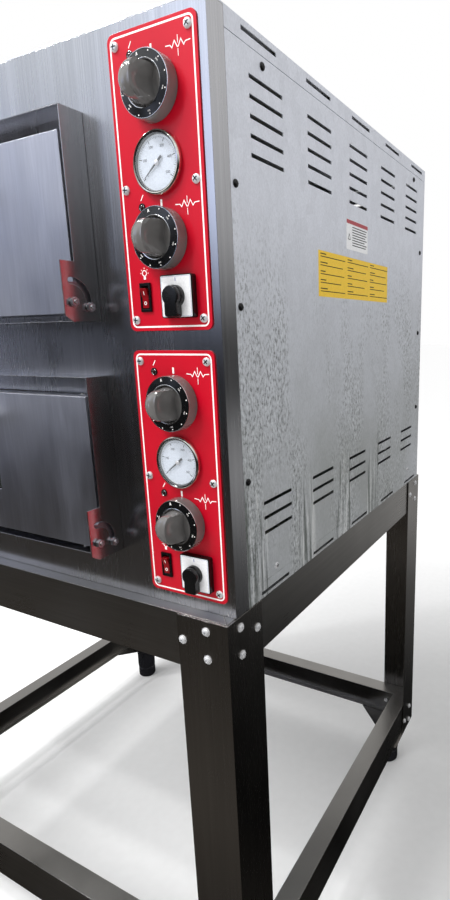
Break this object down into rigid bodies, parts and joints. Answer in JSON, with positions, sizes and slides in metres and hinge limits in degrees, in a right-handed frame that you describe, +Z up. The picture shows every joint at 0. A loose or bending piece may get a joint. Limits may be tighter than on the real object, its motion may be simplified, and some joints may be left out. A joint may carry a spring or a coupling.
{
  "type": "electric deck pizza oven",
  "caption": "Electric deck pizza oven on a bolted steel stand, with bottom-hinged doors, red control panels, dial thermostats, temperature gauges and slotted side panels.",
  "frame": {"origin": "on the floor, below the middle of the whole object", "axes": "+Z up, doors face -Y, control panels on the +X side"},
  "size_m": [1.06, 0.9521, 1.6113],
  "materials": {
    "stainless_front": "satin-brushed stainless steel, fine vertical grain",
    "stainless_dark": "brushed stainless steel, dark and slightly warm",
    "galvanised": "zinc-coated sheet with spangle and weathered streaks",
    "chamber_steel": "aluminised steel, heat-tinted",
    "panel_red": "smooth signal-red panel with a white printed border",
    "knob_grey": "warm grey moulded plastic with a black scale ring",
    "plastic_black": "black moulded plastic",
    "rocker_red": "translucent red plastic",
    "gauge_white": "white dial in a bright steel bezel",
    "stone": "pale refractory stone",
    "wool": "mineral wool blanket",
    "element": "dark oxidised sheathed heating element",
    "glass": "heat-resistant glass, slightly smoked",
    "foot_black": "black moulded plastic"
  },
  "bodies": {
    "root": {"front_panel": "stainless_front", "right_side_panel": "galvanised", "left_side_panel": "galvanised", "rear_panel": "galvanised", "base_pan": "galvanised", "top_cover": "galvanised", "insulation_wool": "wool", "cable_gland": "plastic_black", "lower_chamber_liner": "chamber_steel", "lower_baking_stone": "stone", "lower_floor_element": "element", "lower_roof_element": "element", "lower_door_hood": "stainless_front", "lower_control_panel": "panel_red", "lower_gauge": "gauge_white", "lower_rocker_frame": "plastic_black", "lower_cam_plate": "plastic_black", "upper_chamber_liner": "chamber_steel", "upper_baking_stone": "stone", "upper_floor_element": "element", "upper_roof_element": "element", "upper_door_hood": "stainless_front", "upper_control_panel": "panel_red", "upper_gauge": "gauge_white", "upper_rocker_frame": "plastic_black", "upper_cam_plate": "plastic_black", "stand_front_beam": "stainless_dark", "stand_front_rail": "stainless_dark", "stand_right_beam": "stainless_dark", "stand_right_rail": "stainless_dark", "stand_rear_beam": "stainless_dark", "stand_rear_rail": "stainless_dark", "stand_left_beam": "stainless_dark", "stand_left_rail": "stainless_dark", "stand_front_left_leg": "stainless_dark", "stand_front_left_foot": "foot_black", "stand_front_right_leg": "stainless_dark", "stand_front_right_foot": "foot_black", "stand_rear_right_leg": "stainless_dark", "stand_rear_right_foot": "foot_black", "stand_rear_left_leg": "stainless_dark", "stand_rear_left_foot": "foot_black"},
    "lower_door": {"lower_door_outer": "stainless_front", "lower_door_inner": "chamber_steel", "lower_door_window": "glass", "lower_door_handle": "stainless_front"},
    "lower_roof_dial": {"lower_roof_knob": "knob_grey"},
    "lower_floor_dial": {"lower_floor_knob": "knob_grey"},
    "lower_needle": {"lower_gauge_needle": "plastic_black"},
    "lower_rocker_cap": {"lower_rocker": "rocker_red"},
    "lower_cam": {"lower_cam_knob": "plastic_black"},
    "upper_door": {"upper_door_outer": "stainless_front", "upper_door_inner": "chamber_steel", "upper_door_window": "glass", "upper_door_handle": "stainless_front"},
    "upper_roof_dial": {"upper_roof_knob": "knob_grey"},
    "upper_floor_dial": {"upper_floor_knob": "knob_grey"},
    "upper_needle": {"upper_gauge_needle": "plastic_black"},
    "upper_rocker_cap": {"upper_rocker": "rocker_red"},
    "upper_cam": {"upper_cam_knob": "plastic_black"}
  },
  "joints": [
    {"name": "lower_door_hinge", "type": "hinge", "parent": "root", "child": "lower_door", "pos_m": [-0.07, -0.435, 0.9593], "axis": [1, 0, 0], "range_deg": [0, 90]},
    {"name": "lower_roof_dial_turn", "type": "hinge", "parent": "root", "child": "lower_roof_dial", "pos_m": [0.4505, -0.389, 1.1598], "axis": [0, 1, 0], "range_deg": [0, 300]},
    {"name": "lower_floor_dial_turn", "type": "hinge", "parent": "root", "child": "lower_floor_dial", "pos_m": [0.4505, -0.389, 0.9938], "axis": [0, 1, 0], "range_deg": [0, 300]},
    {"name": "lower_needle_sweep", "type": "hinge", "parent": "root", "child": "lower_needle", "pos_m": [0.4505, -0.394, 1.0798], "axis": [0, 1, 0], "range_deg": [0, 256]},
    {"name": "lower_rocker_tilt", "type": "hinge", "parent": "root", "child": "lower_rocker_cap", "pos_m": [0.415, -0.389, 0.9258], "axis": [-1, 0, 0], "range_deg": [0, 18]},
    {"name": "lower_cam_turn", "type": "hinge", "parent": "root", "child": "lower_cam", "pos_m": [0.4715, -0.409, 0.9248], "axis": [0, 1, 0], "range_deg": [0, 90]},
    {"name": "upper_door_hinge", "type": "hinge", "parent": "root", "child": "upper_door", "pos_m": [-0.07, -0.435, 1.2913], "axis": [1, 0, 0], "range_deg": [0, 90]},
    {"name": "upper_roof_dial_turn", "type": "hinge", "parent": "root", "child": "upper_roof_dial", "pos_m": [0.4505, -0.389, 1.5288], "axis": [0, 1, 0], "range_deg": [0, 300]},
    {"name": "upper_floor_dial_turn", "type": "hinge", "parent": "root", "child": "upper_floor_dial", "pos_m": [0.4505, -0.389, 1.3628], "axis": [0, 1, 0], "range_deg": [0, 300]},
    {"name": "upper_needle_sweep", "type": "hinge", "parent": "root", "child": "upper_needle", "pos_m": [0.4505, -0.394, 1.4488], "axis": [0, 1, 0], "range_deg": [0, 256]},
    {"name": "upper_rocker_tilt", "type": "hinge", "parent": "root", "child": "upper_rocker_cap", "pos_m": [0.415, -0.389, 1.2948], "axis": [-1, 0, 0], "range_deg": [0, 18]},
    {"name": "upper_cam_turn", "type": "hinge", "parent": "root", "child": "upper_cam", "pos_m": [0.4715, -0.409, 1.2938], "axis": [0, 1, 0], "range_deg": [0, 90]}
  ]
}
